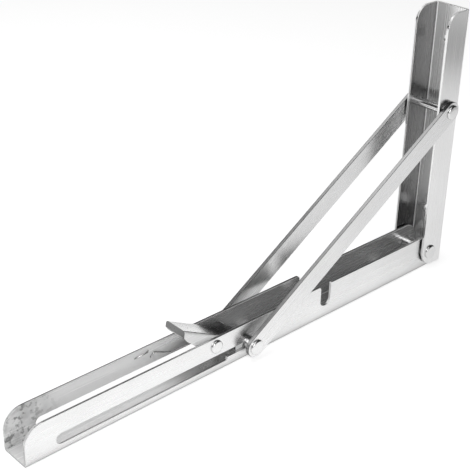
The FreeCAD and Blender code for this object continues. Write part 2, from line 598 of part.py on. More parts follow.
tip = round_edges(latch, tip, edges, "cheek_corner", "sizes.lip_height")
foot = value(NOSE_FOOT)
edges = edges_along(tip.Shape, 1, [(value(NOSE_TOE), foot), (value(NOSE_HEEL), foot)])
tip = round_edges(latch, tip, edges, "nose_corners", "sizes.nose_gap * 0.6")
top_edges = []
for number, edge in enumerate(tip.Shape.Edges, start=1):
    ends = [vertex.Point for vertex in edge.Vertexes]
    low = min(end.z for end in ends)
    if abs(ends[0].y - ends[-1].y) < 1e-6 and low > value("sizes.web_back_height") - 1e-3:
        if abs(ends[0].x - ends[-1].x) > value("sizes.web_back") / 2:
            top_edges.append(f"Edge{number}")
tip = round_edges(latch, tip, top_edges, "lever_bends", "sizes.latch_gauge * 1.33")
SLOPE = "((sizes.tab_height - sizes.crease_height) / (sizes.tab_reach + sizes.crease_back))"
UNDER = f"(sizes.latch_gauge * sqrt(1 + {SLOPE}^2))"
LIP_BACK = f"({TAB_X} + sizes.latch_gauge)"
UNDER_CREASE = f"(sizes.crease_height - {UNDER})"
hollow = new_sketch(latch, "lever_inside", "XZ_Plane")
draw_outline(hollow, [
    (LIP_BACK, f"sizes.tab_height - {SLOPE} * sizes.latch_gauge - {UNDER}"),
    ("sizes.crease_back", UNDER_CREASE),
    ("sizes.web_back", "sizes.web_back_height - sizes.latch_gauge"),
    ("sizes.web_back", "sizes.tab_height"),
    (f"{NOSE_FRONT} + sizes.lip_height", "sizes.tab_height"),
    (f"{NOSE_FRONT} + sizes.lip_height", f"{NOSE_FOOT} - sizes.lip_height"),
    (f"{TAB_X} - sizes.lip_height", f"{NOSE_FOOT} - sizes.lip_height"),
    (f"{TAB_X} - sizes.lip_height", "sizes.tab_height - sizes.lip_height"),
    (LIP_BACK, "sizes.tab_height - sizes.lip_height"),
])
before = latch.Shape.Volume
inside_cut = latch.newObject("PartDesign::Pocket", "lever_hollow")
inside_cut.Profile = hollow
inside_cut.SideType = "Symmetric"
inside_cut.setExpression("Length", f"2 * ({LATCH_HALF} - sizes.latch_gauge)")
tip = finish_feature(inside_cut, before, False)
edges = edges_along(tip.Shape, 1, [(value("sizes.crease_back"), value(UNDER_CREASE))])
tip = round_edges(latch, tip, edges, "crease_underside", "sizes.crease_radius + sizes.latch_gauge")
bore = new_sketch(latch, "lever_hole", "XZ_Plane")
draw_circle(bore, "0", "0", "sizes.latch_shank + 2 * sizes.running_fit")
cut_through(latch, bore, "lever_bore")
pieces.append(latch)


def wire_along(points, radius, bend):
    """Sweep round wire along straight runs joined by arcs of one bend radius."""
    edges = []
    start = points[0]
    for before, corner, after in zip(points, points[1:], points[2:]):
        back = (before - corner).normalize()
        ahead = (after - corner).normalize()
        half_turn = back.getAngle(ahead) / 2
        first = corner + back * (bend / tan(half_turn))
        last = corner + ahead * (bend / tan(half_turn))
        deep = corner + (back + ahead).normalize() * (bend / sin(half_turn) - bend)
        edges.append(Part.LineSegment(start, first).toShape())
        edges.append(Part.Arc(first, deep, last).toShape())
        start = last
    edges.append(Part.LineSegment(start, points[-1]).toShape())
    rim = Part.Circle(points[0], points[1] - points[0], radius).toShape()
    return Part.Wire(edges).makePipeShell([Part.Wire([rim])], True, False)


# Latch spring: a coil around the latch rivet, one straight leg under the tab, and one leg
# hooked out and in through the two small holes. Its places are given from the latch rivet.
wire_radius = value("sizes.wire / 2")
coil_radius = value("sizes.latch_shank / 2 + sizes.coil_play + sizes.wire / 2")
pitch = value("1.08 * sizes.wire")
tab_x = value("-0.77 * sizes.tab_reach")
tab_z = value(f"sizes.crease_height + {SLOPE} * (sizes.crease_back + 0.77 * sizes.tab_reach)"
              f" - {UNDER} / sizes.latch_gauge * (sizes.latch_gauge + 0.6 * sizes.wire)")
knee_x = value("-sizes.leg_knee")
knee_z = value("-sizes.leg_dip")
upper_angle = atan2(tab_z, tab_x) - acos(coil_radius / hypot(tab_x, tab_z))
lower_angle = atan2(knee_z, knee_x) + acos(coil_radius / hypot(knee_x, knee_z))
turned_by = upper_angle - lower_angle + 2 * pi * value("sizes.coil_turns")
coil_length = pitch * turned_by / (2 * pi)
lead = pitch / (2 * pi * coil_radius)
far_end = value(f"{LATCH_HALF} - sizes.latch_gauge - sizes.wire")
outwards = FreeCAD.Vector(cos(lower_angle), 0, sin(lower_angle))
around = FreeCAD.Vector(-sin(lower_angle), 0, cos(lower_angle))
along = FreeCAD.Vector(0, -1, 0)
coil_start = outwards * coil_radius - along * far_end
helix = Part.makeHelix(pitch, coil_length, coil_radius)
helix.Placement = FreeCAD.Placement(-along * far_end, FreeCAD.Rotation(outwards, around, along, "XYZ"))
rim = Part.Circle(coil_start, around + along * lead, wire_radius).toShape()
coil = Part.Wire(helix.Edges).makePipeShell([Part.Wire([rim])], True, True)
coil_end = FreeCAD.Vector(cos(upper_angle), 0, sin(upper_angle)) * coil_radius + along * (coil_length - far_end)
leaving = FreeCAD.Vector(-sin(upper_angle), -lead, cos(upper_angle))
tab_leg = Part.makeCylinder(wire_radius, hypot(tab_x, tab_z), coil_end, leaving)
inner_y = value(f"{SHELF_INNER} - 0.6 * sizes.wire")
outer_y = value("sizes.shelf_width / 2 + 0.6 * sizes.wire")
step_x = value(ANCHOR_STEP_X)
step_z = value(ANCHOR_STEP_Z)
anchor_x = value("-sizes.anchor_reach")
anchor_z = value(f"{ANCHOR_Z} - {LATCH_Z}")
hooked_leg = wire_along([
    coil_start,
    coil_start - (around + along * lead) * value("sizes.leg_knee / 3"),
    FreeCAD.Vector(knee_x, inner_y, knee_z),
    FreeCAD.Vector(anchor_x + 2.25 * step_x, inner_y, value("sizes.leg_hump")),
    FreeCAD.Vector(anchor_x + step_x, inner_y, anchor_z - step_z),
    FreeCAD.Vector(anchor_x + step_x, outer_y, anchor_z - step_z),
    FreeCAD.Vector(anchor_x - step_x, outer_y, anchor_z + step_z),
    FreeCAD.Vector(anchor_x - step_x, inner_y, anchor_z + step_z),
    FreeCAD.Vector(value("-sizes.leg_end"), inner_y, anchor_z + step_z - wire_radius),
], wire_radius, value("1.2 * sizes.wire"))
spring = doc.addObject("Part::Feature", "latch_spring")
spring.Shape = coil.fuse([tab_leg, hooked_leg]).removeSplitter()
spring.setExpression("Placement.Base.x", LATCH_X)
spring.setExpression("Placement.Base.z", LATCH_Z)
pieces.append(spring)


doc.recompute()
bad = [item.Name for item in doc.Objects if "Invalid" in item.State or "Error" in item.State]
if bad:
    raise RuntimeError(f"failed objects: {bad}")

os.makedirs("parts", exist_ok=True)
for piece in pieces:
    shape = piece.Shape
    if shape.isNull() or not shape.isValid() or not shape.Solids:
        raise RuntimeError(f"{piece.Label} has no valid solid")
    shape.exportStep(f"parts/{piece.Label}.step")
    print(piece.Label, len(shape.Solids), round(shape.Volume, 1), shape.BoundBox)
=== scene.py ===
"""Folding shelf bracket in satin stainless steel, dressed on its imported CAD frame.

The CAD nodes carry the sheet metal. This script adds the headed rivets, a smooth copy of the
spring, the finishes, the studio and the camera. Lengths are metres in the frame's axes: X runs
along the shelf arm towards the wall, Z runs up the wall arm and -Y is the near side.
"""
from __future__ import annotations

import logging
import math
from dataclasses import dataclass
from enum import Enum

import bpy
from mathutils import Matrix, Vector

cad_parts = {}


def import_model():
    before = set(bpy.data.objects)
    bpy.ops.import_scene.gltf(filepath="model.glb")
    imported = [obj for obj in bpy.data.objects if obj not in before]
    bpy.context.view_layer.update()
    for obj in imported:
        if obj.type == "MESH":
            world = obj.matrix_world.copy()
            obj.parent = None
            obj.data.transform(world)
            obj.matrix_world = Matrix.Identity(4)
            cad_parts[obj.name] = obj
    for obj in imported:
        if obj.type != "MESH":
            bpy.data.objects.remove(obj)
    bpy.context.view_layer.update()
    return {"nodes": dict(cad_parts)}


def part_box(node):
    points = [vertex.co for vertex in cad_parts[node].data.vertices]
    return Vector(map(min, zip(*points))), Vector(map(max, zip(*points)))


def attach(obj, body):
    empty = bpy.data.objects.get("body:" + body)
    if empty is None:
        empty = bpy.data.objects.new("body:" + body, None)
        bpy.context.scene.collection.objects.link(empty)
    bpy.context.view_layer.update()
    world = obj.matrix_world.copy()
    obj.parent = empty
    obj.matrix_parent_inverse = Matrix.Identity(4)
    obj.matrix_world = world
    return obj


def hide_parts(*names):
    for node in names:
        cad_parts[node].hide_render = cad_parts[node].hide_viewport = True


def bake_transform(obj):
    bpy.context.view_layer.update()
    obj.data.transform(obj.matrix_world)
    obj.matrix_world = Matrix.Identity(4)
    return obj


LOG = logging.getLogger("bracket")
MM = 0.001
SMOOTH_BELOW = math.radians(40)
Point = tuple[float, float, float]
Span = tuple[float, float]
Socket = bpy.types.NodeSocket


class Grain(Enum):
    """Which way the brush marks run: the pattern's stretch, and the axis that they follow."""

    ALONG_X = ((9.0, 700.0, 700.0), "X")
    ALONG_Z = ((700.0, 700.0, 9.0), "Z")
    ROUND = ((260.0, 260.0, 260.0), None)

    @property
    def stretch(self) -> Point:
        """Give the marks per metre along X, Y and Z."""
        return self.value[0]

    @property
    def axis(self) -> str | None:
        """Give the axis that the marks follow, where they follow one."""
        return self.value[1]


class Side(Enum):
    """The two sides of the bracket, as the sign of Y."""

    NEAR = -1
    FAR = 1


@dataclass(frozen=True)
class Bench:
    """The node tree of a material or of the world, with the steps that they share.

    Attributes:
        tree: The node tree.
        soft: Width of a soft edge between two parts of a piece.
        flat_facing: How squarely a face looks along an axis where it begins to count as flat,
            and where it counts fully.
    """

    tree: bpy.types.NodeTree
    soft: float = 0.2 * MM
    flat_facing: Span = (0.90, 0.97)

    def add(self, kind: str, **options: str) -> bpy.types.Node:
        """Add a node.

        Args:
            kind: Type of the node.
            options: The node's own options.

        Returns:
            The new node.
        """
        node = self.tree.nodes.new(kind)
        for name, option in options.items():
            setattr(node, name, option)
        return node

    def feed(self, target: Socket, value: Socket | float | tuple[float, ...]) -> None:
        """Link an output to an input, or set the input to a plain value.

        Args:
            target: The input.
            value: The output, or the plain value.
        """
        if isinstance(value, Socket):
            self.tree.links.new(value, target)
        else:
            target.default_value = value

    def maths(self, operation: str, first: Socket, second: Socket | float = 0.0) -> Socket:
        """Work out a value from one or two others.

        Args:
            operation: The sum to do.
            first: First value.
            second: Second value, where the operation has one.

        Returns:
            The result.
        """
        node = self.add("ShaderNodeMath", operation=operation)
        self.feed(node.inputs[0], first)
        self.feed(node.inputs[1], second)
        return node.outputs["Value"]

    def slope(self, value: Socket, start: float, end: float, low: float = 0.0, high: float = 1.0,
              kind: str = "LINEAR") -> Socket:
        """Turn a value into a rise, which is straight unless another form is asked for.

        Args:
            value: Value that is read.
            start: Value where the rise begins.
            end: Value where it ends.
            low: Result before it.
            high: Result after it.
            kind: Form of the rise.

        Returns:
            The rise.
        """
        node = self.add("ShaderNodeMapRange", interpolation_type=kind)
        for name, number in (("Value", value), ("From Min", start), ("From Max", end),
                             ("To Min", low), ("To Max", high)):
            self.feed(node.inputs[name], number)
        return node.outputs["Result"]

    def step(self, value: Socket, start: float, end: float, low: float = 0.0,
             high: float = 1.0) -> Socket:
        """Turn a value into a soft step, with the arguments of slope."""
        return self.slope(value, start, end, low, high, "SMOOTHSTEP")

    def between(self, value: Socket, start: float, end: float, rise: float | None = None) -> Socket:
        """Mark the part of a piece between two places.

        Args:
            value: Place along an axis.
            start: Place where the marked part begins.
            end: Place where it ends.
            rise: Width of the first edge, if it isn't the usual one.

        Returns:
            1 in the marked part, 0 elsewhere.
        """
        begun = self.step(value, start, start + (rise or self.soft))
        ended = self.step(value, end, end + self.soft, 1.0, 0.0)
        return self.maths("MULTIPLY", begun, ended)

    def axes(self, vector: Socket) -> bpy.types.NodeOutputs:
        """Split a vector into its X, Y and Z.

        Args:
            vector: The vector.

        Returns:
            The three values, by name.
        """
        node = self.add("ShaderNodeSeparateXYZ")
        self.feed(node.inputs["Vector"], vector)
        return node.outputs

    def place(self) -> Socket:
        """Read the place on the piece."""
        return self.add("ShaderNodeTexCoord").outputs["Object"]

    def facing(self) -> bpy.types.NodeOutputs:
        """Read which way a face looks, as X, Y and Z."""
        return self.axes(self.add("ShaderNodeNewGeometry").outputs["True Normal"])

    def bent(self, first: str, second: str) -> Socket:
        """Mark the faces of a channel that lie neither in its web nor in a flange.

        Args:
            first: Axis that the web or the flanges face.
            second: Axis that the others face.

        Returns:
            1 on bends, hole walls and cut corners, 0 on the flat sheet.
        """
        ways = self.facing()
        squarest = self.maths("MAXIMUM", self.maths("ABSOLUTE", ways[first]),
                              self.maths("ABSOLUTE", ways[second]))
        return self.step(squarest, *self.flat_facing, 1.0, 0.0)

    def noise(self, place: Socket, scale: float, detail: float) -> Socket:
        """Make cloudy noise.

        Args:
            place: Place that it is read at.
            scale: Clouds per unit of length.
            detail: Octaves of finer clouds.

        Returns:
            The noise, from 0 to 1.
        """
        node = self.add("ShaderNodeTexNoise")
        for name, value in (("Vector", place), ("Scale", scale), ("Detail", detail)):
            self.feed(node.inputs[name], value)
        return node.outputs["Fac"]

    def blend(self, colour: Socket, grey: float, share: Socket) -> Socket:
        """Blend a colour into a plain grey.

        Args:
            colour: Colour at share 0.
            grey: Grey at share 1.
            share: The share.

        Returns:
            The blended colour.
        """
        node = self.add("ShaderNodeMix", data_type="RGBA")
        for name, value in (("A", colour), ("B", (grey, grey, grey, 1.0)), ("Factor", share)):
            self.feed(node.inputs[name], value)
        return node.outputs["Result"]


@dataclass(frozen=True)
class SteelFinish:
    """Satin stainless steel with brush marks and a faint mottle.

    Attributes:
        label: Name of the material.
        shade: Grey reflectance of the bare metal.
        roughness: Mean roughness of the surface.
        grain: Way of the brush marks.
        lean: Turn of the grain about Y, in radians.
        mark_depth: Strength of the brush marks in the bump.
        mark_height: Height of the marks at full strength.
        mark_detail: Octaves of finer marks.
        mark_spread: How far reflections spread across the marks.
        roughness_swing: How far the marks move the roughness, as a share of it.
        mottle: How far the shade wanders over the sheet, as a share of it.
        cloud_scale: Clouds of the mottle per metre.
        cloud_detail: Octaves of finer clouds.
        tone_span: Sums of mark and cloud between which the shade wanders.
    """

    label: str
    shade: float
    roughness: float
    grain: Grain
    lean: float = 0.0
    mark_depth: float = 0.12
    mark_height: float = 0.05 * MM
    mark_detail: float = 3.0
    mark_spread: float = 0.5
    roughness_swing: float = 0.25
    mottle: float = 0.06
    cloud_scale: float = 28.0
    cloud_detail: float = 4.0
    tone_span: Span = (0.6, 1.4)

    def material(self) -> bpy.types.Material:
        """Build the material.

        Returns:
            The new material.
        """
        made = bpy.data.materials.new(self.label)
        made.use_nodes = True
        bench = Bench(made.node_tree)
        sockets = made.node_tree.nodes["Principled BSDF"].inputs
        place = bench.place()
        marks = self._marks(bench, place)
        rough = self.roughness * (1.0 + self.roughness_swing)
        fine = self.roughness * (1.0 - self.roughness_swing)
        bench.feed(sockets["Metallic"], self._metallic(bench, place))
        bench.feed(sockets["Roughness"], bench.slope(marks, 0.0, 1.0, fine, rough))
        bench.feed(sockets["Normal"], self._bump(bench, marks))
        bench.feed(sockets["Base Color"], self._wear_and_painted_light(bench, place, self._tone(bench, place, marks)))
        if self.grain.axis:
            around = bench.add("ShaderNodeTangent", direction_type="RADIAL", axis=self.grain.axis)
            bench.feed(sockets["Anisotropic"], self.mark_spread)
            bench.feed(sockets["Tangent"], around.outputs["Tangent"])
        return made

    def _marks(self, bench: Bench, place: Socket) -> Socket:
        """Make the brush marks' height from stretched noise.

        Args:
            bench: Node tree of the material.
            place: Place on the piece.

        Returns:
            The height, from 0 to 1.
        """
        turn = bench.add("ShaderNodeMapping")
        bench.feed(turn.inputs["Rotation"], (0.0, self.lean, 0.0))
        bench.feed(turn.inputs["Vector"], place)
        stretch = bench.add("ShaderNodeMapping")
        bench.feed(stretch.inputs["Scale"], self.grain.stretch)
        bench.feed(stretch.inputs["Vector"], turn.outputs["Vector"])
        return bench.noise(stretch.outputs["Vector"], 1.0, self.mark_detail)

    def _bump(self, bench: Bench, marks: Socket) -> Socket:
        """Raise the brush marks a little.

        Args:
            bench: Node tree of the material.
            marks: Height of the brush marks.

        Returns:
            The surface's direction.
        """
        bump = bench.add("ShaderNodeBump")
        for name, value in (("Strength", self.mark_depth), ("Distance", self.mark_height),
                            ("Height", marks)):
            bench.feed(bump.inputs[name], value)
        return bump.outputs["Normal"]

    def _tone(self, bench: Bench, place: Socket, marks: Socket) -> Socket:
        """Make the metal's grey, which wanders a little with the marks and over the sheet.

        Args:
            bench: Node tree of the material.
            place: Place on the piece.
            marks: Height of the brush marks.

        Returns:
            The colour.
        """
        cloud = bench.noise(place, self.cloud_scale, self.cloud_detail)
        level = bench.slope(bench.maths("ADD", marks, cloud), *self.tone_span,
                            self.shade * (1.0 - self.mottle), self.shade * (1.0 + self.mottle))
        grey = bench.add("ShaderNodeCombineColor")
        for channel in ("Red", "Green", "Blue"):
            bench.feed(grey.inputs[channel], level)
        return grey.outputs["Color"]

    def _metallic(self, bench: Bench, place: Socket) -> Socket | float:
        """Leave the metal bright all over; a finish with painted light changes this."""
        return 1.0

    def _wear_and_painted_light(self, bench: Bench, place: Socket, tone: Socket) -> Socket:
        """Leave the tone even; a finish with painted light and shade, or with real wear, adds them
        here.
        """
        return tone


@dataclass(frozen=True)
class PaintedLightSteel(SteelFinish):
    """Satin steel with painted light: a paler part that scatters the light instead of mirroring it.

    Attributes:
        painted_light_shade: Grey reflectance of the part with painted light.
        painted_light_metal: Metallic share of the part with painted light.
    """

    painted_light_shade: float = 0.95
    painted_light_metal: float = 0.25

    def _metallic(self, bench: Bench, place: Socket) -> Socket:
        """Let the part with painted light scatter the light."""
        return bench.step(self._painted_light(bench, place), 0.0, 1.0, 1.0, self.painted_light_metal)

    def _painted_light(self, bench: Bench, place: Socket) -> Socket:
        """Mark the part with painted light; each finish has its own."""
        raise NotImplementedError


@dataclass(frozen=True)
class WallSteel(PaintedLightSteel):
    """Steel of the wall arm, with painted shade inside the far flange and painted highlights
    where it is bent or cut.

    Attributes:
        inside_from: Y where the painted shade inside the far flange begins.
        inside_rise: Width over which it darkens.
        middle: Y of the middle of the far flange's sheet, where it ends.
        painted_inside_shade: Grey reflectance of the painted shade there.
        web_from: X where the web's inside begins.
        web_to: X of the middle of the web's sheet, where it ends.
        web_painted_light: How much painted light the web's inside gets, as a share.
    """

    inside_from: float = 11.5 * MM
    inside_rise: float = 1.5 * MM
    middle: float = 14.5 * MM
    painted_inside_shade: float = 0.26
    web_from: float = 197.6 * MM
    web_to: float = 199.0 * MM
    web_painted_light: float = 0.45

    def _painted_light(self, bench: Bench, place: Socket) -> Socket:
        """Mark the bends and cuts for painted highlights, and to a smaller share the web's inside for
        painted light.

        Args:
            bench: Node tree of the material.
            place: Place on the piece.

        Returns:
            1 on bends and cuts, less on the web's inside, 0 elsewhere.
        """
        web = bench.between(bench.axes(place)["X"], self.web_from, self.web_to)
        # Painted light: bends, cuts and the web's inside are made pale to stand for highlights and
        # reflected light.
        return bench.maths("MAXIMUM", bench.maths("MULTIPLY", web, self.web_painted_light), bench.bent("X", "Y"))

    def _wear_and_painted_light(self, bench: Bench, place: Socket, tone: Socket) -> Socket:
        """Paint shade on the far flange's inside, then paint highlights on the bends and cuts.

        Args:
            bench: Node tree of the material.
            place: Place on the piece.
            tone: Colour of the even metal.

        Returns:
            The colour with the painted shade and the painted light.
        """
        inside = bench.between(bench.axes(place)["Y"], self.inside_from, self.middle, self.inside_rise)
        # Painted shade: the far flange's inner face is darkened to stand for its shade and dark
        # reflections.
        darkened = bench.blend(tone, self.painted_inside_shade, inside)
        return bench.blend(darkened, self.painted_light_shade, self._painted_light(bench, place))


@dataclass(frozen=True)
class ShelfSteel(PaintedLightSteel):
    """Steel of the shelf arm, with painted light inside its free end and on its bends and cuts,
    and dark scuffs on the far flange.

    Attributes:
        painted_light_from: X where the painted light inside begins.
        painted_light_to: X where it is full.
        painted_light_rest: Share of painted light the inside keeps towards the wall.
        sheet_middle: Middle of the flanges' sheet from the middle plane; outside it is bright.
        bright_above: Z above which the bends and cuts get painted highlights.
        bright_rise: Height over which that begins.
        scuffed: Span of X over which the scuffs fade out, from the free end.
        flange_inside: Y from which the far flange's inner face counts.
        scuff_shade: Grey reflectance of the scuffs.
        scuff_scale: Scuffs per metre.
        scuff_edge: Noise values where a scuff begins and is full.
        stain_shade: Grey reflectance of the wide stain under them.
        stain_scale: Stains per metre.
        stain_edge: Noise values where a stain begins and is full.
        spot_share: How much of a spot's grey shows at most.
        spot_detail: Octaves of finer spots.
    """

    painted_light_from: float = -40 * MM
    painted_light_to: float = -100 * MM
    painted_light_rest: float = 0.3
    sheet_middle: float = 11.25 * MM
    bright_above: float = 1.4 * MM
    bright_rise: float = 0.1 * MM
    scuffed: Span = (-200 * MM, -150 * MM)
    flange_inside: float = 9.5 * MM
    scuff_shade: float = 0.10
    scuff_scale: float = 330.0
    scuff_edge: Span = (0.50, 0.64)
    stain_shade: float = 0.45
    stain_scale: float = 90.0
    stain_edge: Span = (0.35, 0.65)
    spot_share: float = 0.7
    spot_detail: float = 5.0

    def _painted_light(self, bench: Bench, place: Socket) -> Socket:
        """Mark the painted light inside towards the free end, and the painted highlights on the bends
        and cuts.

        Args:
            bench: Node tree of the material.
            place: Place on the piece.

        Returns:
            1 where light is painted, 0 elsewhere.
        """
        spot = bench.axes(place)
        along = bench.step(spot["X"], self.painted_light_to, self.painted_light_from, 1.0, self.painted_light_rest)
        inside = bench.between(spot["Y"], -self.sheet_middle, self.sheet_middle)
        above = bench.step(spot["Z"], self.bright_above, self.bright_above + self.bright_rise)
        return bench.maths("MAXIMUM", bench.maths("MULTIPLY", along, inside),
                           bench.maths("MULTIPLY", above, bench.bent("Y", "Z")))

    def _wear_and_painted_light(self, bench: Bench, place: Socket, tone: Socket) -> Socket:
        """Paint light and highlights, then stain and scuff the far flange's free end.

        Args:
            bench: Node tree of the material.
            place: Place on the piece.
            tone: Colour of the even metal.

        Returns:
            The colour with painted light and real wear.
        """
        spot = bench.axes(place)
        patch = bench.maths("MULTIPLY", bench.step(spot["X"], *self.scuffed, 1.0, 0.0),
                            bench.between(spot["Y"], self.flange_inside, self.sheet_middle))
        # Painted light and painted highlights; the stains and scuffs below are real wear.
        colour = bench.blend(tone, self.painted_light_shade, self._painted_light(bench, place))
        for shade, scale, edge in ((self.stain_shade, self.stain_scale, self.stain_edge),
                                   (self.scuff_shade, self.scuff_scale, self.scuff_edge)):
            clouds = bench.noise(place, scale, self.spot_detail)
            spots = bench.step(clouds, *edge, 0.0, self.spot_share)
            colour = bench.blend(colour, shade, bench.maths("MULTIPLY", patch, spots))
        return colour


@dataclass(frozen=True)
class BraceSteel(SteelFinish):
    """Steel of the braces, with painted shade on the sheared edges, darkest on their eased corners.

    Attributes:
        painted_edge_shade: Grey reflectance of the painted shade on the edges.
        painted_corner_shade: Grey reflectance of the painted shade on the eased corners.
        corner_facing: How far a face looks across the brace where it begins to count as a
            corner of the edge, and where it counts fully.
    """

    painted_edge_shade: float = 0.30
    painted_corner_shade: float = 0.06
    corner_facing: Span = (0.05, 0.15)

    def _wear_and_painted_light(self, bench: Bench, place: Socket, tone: Socket) -> Socket:
        """Paint shade on the edges and their corners.

        Args:
            bench: Node tree of the material.
            place: Place on the piece. Not used.
            tone: Colour of the broad faces.

        Returns:
            The colour with the painted shade on the edges.
        """
        across = bench.maths("ABSOLUTE", bench.facing()["Y"])
        edge = bench.step(across, *bench.flat_facing, 1.0, 0.0)
        corner = bench.maths("MULTIPLY", edge, bench.step(across, *self.corner_facing))
        # Painted shade: the edge strips and their corners are darkened to stand for their dark
        # reflections.
        return bench.blend(bench.blend(tone, self.painted_edge_shade, edge), self.painted_corner_shade, corner)


@dataclass(frozen=True)
class LeverSteel(PaintedLightSteel):
    """Steel of the lever, with painted light on the near wall and painted shade on the finger
    tab's turned-down lip.

    Attributes:
        near_facing: How far a face looks to the near side where it counts fully as the near
            wall, and where it begins to.
        painted_lip_shade: Grey reflectance of the painted shade on the lip.
        lip_facing: How far a face looks to the free end where it counts fully as the lip, and
            where it begins to.
    """

    near_facing: Span = (0.80, 0.20)
    painted_lip_shade: float = 0.16
    lip_facing: Span = (0.85, 0.70)

    def _painted_light(self, bench: Bench, place: Socket) -> Socket:
        """Mark the near wall and, less, its bend, for painted light."""
        return self._towards(bench, "Y", self.near_facing)

    def _wear_and_painted_light(self, bench: Bench, place: Socket, tone: Socket) -> Socket:
        """Paint light on the near wall and shade on the lip.

        Args:
            bench: Node tree of the material.
            place: Place on the piece.
            tone: Colour of the even metal.

        Returns:
            The colour with the painted light on the wall and the painted shade on the lip.
        """
        # Painted light on the near wall, standing for light it lacks in the channel's shade; painted
        # shade on the lip.
        walled = bench.blend(tone, self.painted_light_shade, self._painted_light(bench, place))
        return bench.blend(walled, self.painted_lip_shade, self._towards(bench, "X", self.lip_facing))

    @staticmethod
    def _towards(bench: Bench, axis: str, facing: Span) -> Socket:
        """Mark the faces that look against an axis.

        Args:
            bench: Node tree of the material.
            axis: The axis.
            facing: How far a face looks against it where it counts fully, and where it begins to.

        Returns:
            1 on those faces, 0 elsewhere.
        """
        full, begun = facing
        return bench.step(bench.facing()[axis], -full, -begun, 1.0, 0.0)


@dataclass(frozen=True)
class FloorFinish:
    """White floor that keeps the bracket's soft shadow and lights its faces by reflection.

    Attributes:
        label: Name of the material.
        white: Reflectance of the floor.
        seen_lift: Light added where the camera sees the floor.
        reflected_lift: Light added where a reflection sees the floor.
        shade_until: Distance from the middle plane up to which the painted shadow is full.
        clear_from: Distance from the middle plane from which the floor is clear of it.
        strip_at: Middle of a painted dark strip to the front right, as X less Y.
        strip_half: Half the width of the strip.
        strip_soft: Width of its soft edges.
        falls_over: Values of X less Y over which the painted light falls a little.
        fallen: Share of the light that is left after it.
    """

    label: str = "white_floor"
    white: float = 0.8
    seen_lift: float = 0.66
    reflected_lift: float = 0.86
    shade_until: float = 11 * MM
    clear_from: float = 18 * MM
    strip_at: float = 1050 * MM
    strip_half: float = 100 * MM
    strip_soft: float = 120 * MM
    falls_over: Span = (-100 * MM, 300 * MM)
    fallen: float = 0.72

    def material(self) -> bpy.types.Material:
        """Build the material.

        Returns:
            The new material.
        """
        made = bpy.data.materials.new(self.label)
        made.use_nodes = True
        nodes = made.node_tree.nodes
        nodes.remove(nodes["Principled BSDF"])
        bench = Bench(made.node_tree)
        path = bench.add("ShaderNodeLightPath").outputs
        seen = bench.maths("MULTIPLY", path["Is Camera Ray"], self.seen_lift)
        mirrored = bench.maths("MAXIMUM", path["Is Glossy Ray"], path["Is Transmission Ray"])
        reflected = bench.maths("MULTIPLY", mirrored, self.reflected_lift)
        # Painted shadow under the bracket and painted dark strip in the light that reflections see.
        reflected = bench.maths("MULTIPLY", reflected, self._left(bench))
        matt = bench.add("ShaderNodeBsdfDiffuse")
        bench.feed(matt.inputs["Color"], (self.white, self.white, self.white, 1.0))
        glow = bench.add("ShaderNodeEmission")
        bench.feed(glow.inputs["Strength"], bench.maths("ADD", seen, reflected))
        both = bench.add("ShaderNodeAddShader")
        bench.feed(both.inputs[0], matt.outputs["BSDF"])
        bench.feed(both.inputs[1], glow.outputs["Emission"])
        bench.feed(nodes["Material Output"].inputs["Surface"], both.outputs["Shader"])
        return made

    def _left(self, bench: Bench) -> Socket:
        """Give the share of the reflected light that is left, with a painted shadow under the
        bracket and a painted dark strip to the front right.

        Args:
            bench: Node tree of the material.

        Returns:
            The share.
        """
        spot = bench.axes(bench.place())
        clear = bench.slope(bench.maths("ABSOLUTE", spot["Y"]), self.shade_until, self.clear_from)
        across = bench.maths("SUBTRACT", spot["X"], spot["Y"])
        off = bench.maths("ABSOLUTE", bench.maths("SUBTRACT", across, self.strip_at))
        strip = bench.step(off, self.strip_half, self.strip_half + self.strip_soft)
        fall = bench.step(across, *self.falls_over, 1.0, self.fallen)
        return bench.maths("MULTIPLY", clear, bench.maths("MULTIPLY", strip, fall))


def deselect() -> None:
    """Leave object mode with nothing selected."""
    if bpy.context.object and bpy.context.object.mode != "OBJECT":
        bpy.ops.object.mode_set(mode="OBJECT")
    bpy.ops.object.select_all(action="DESELECT")


def pick(piece: bpy.types.Object) -> None:
    """Select one object alone.

    Args:
        piece: The object.
    """
    deselect()
    piece.select_set(True)
    bpy.context.view_layer.objects.active = piece


def dress(piece: bpy.types.Object, material: bpy.types.Material) -> None:
    """Give a node or piece one material all over.

    Args:
        piece: Node or piece to dress.
        material: Material for all its faces.
    """
    piece.data.materials.clear()
    piece.data.materials.append(material)


def centre(node: str) -> Vector:
    """Find the middle of a CAD node's box.

    Args:
        node: Name of the node.

    Returns:
        The middle.
    """
    low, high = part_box(node)
    return (low + high) / 2


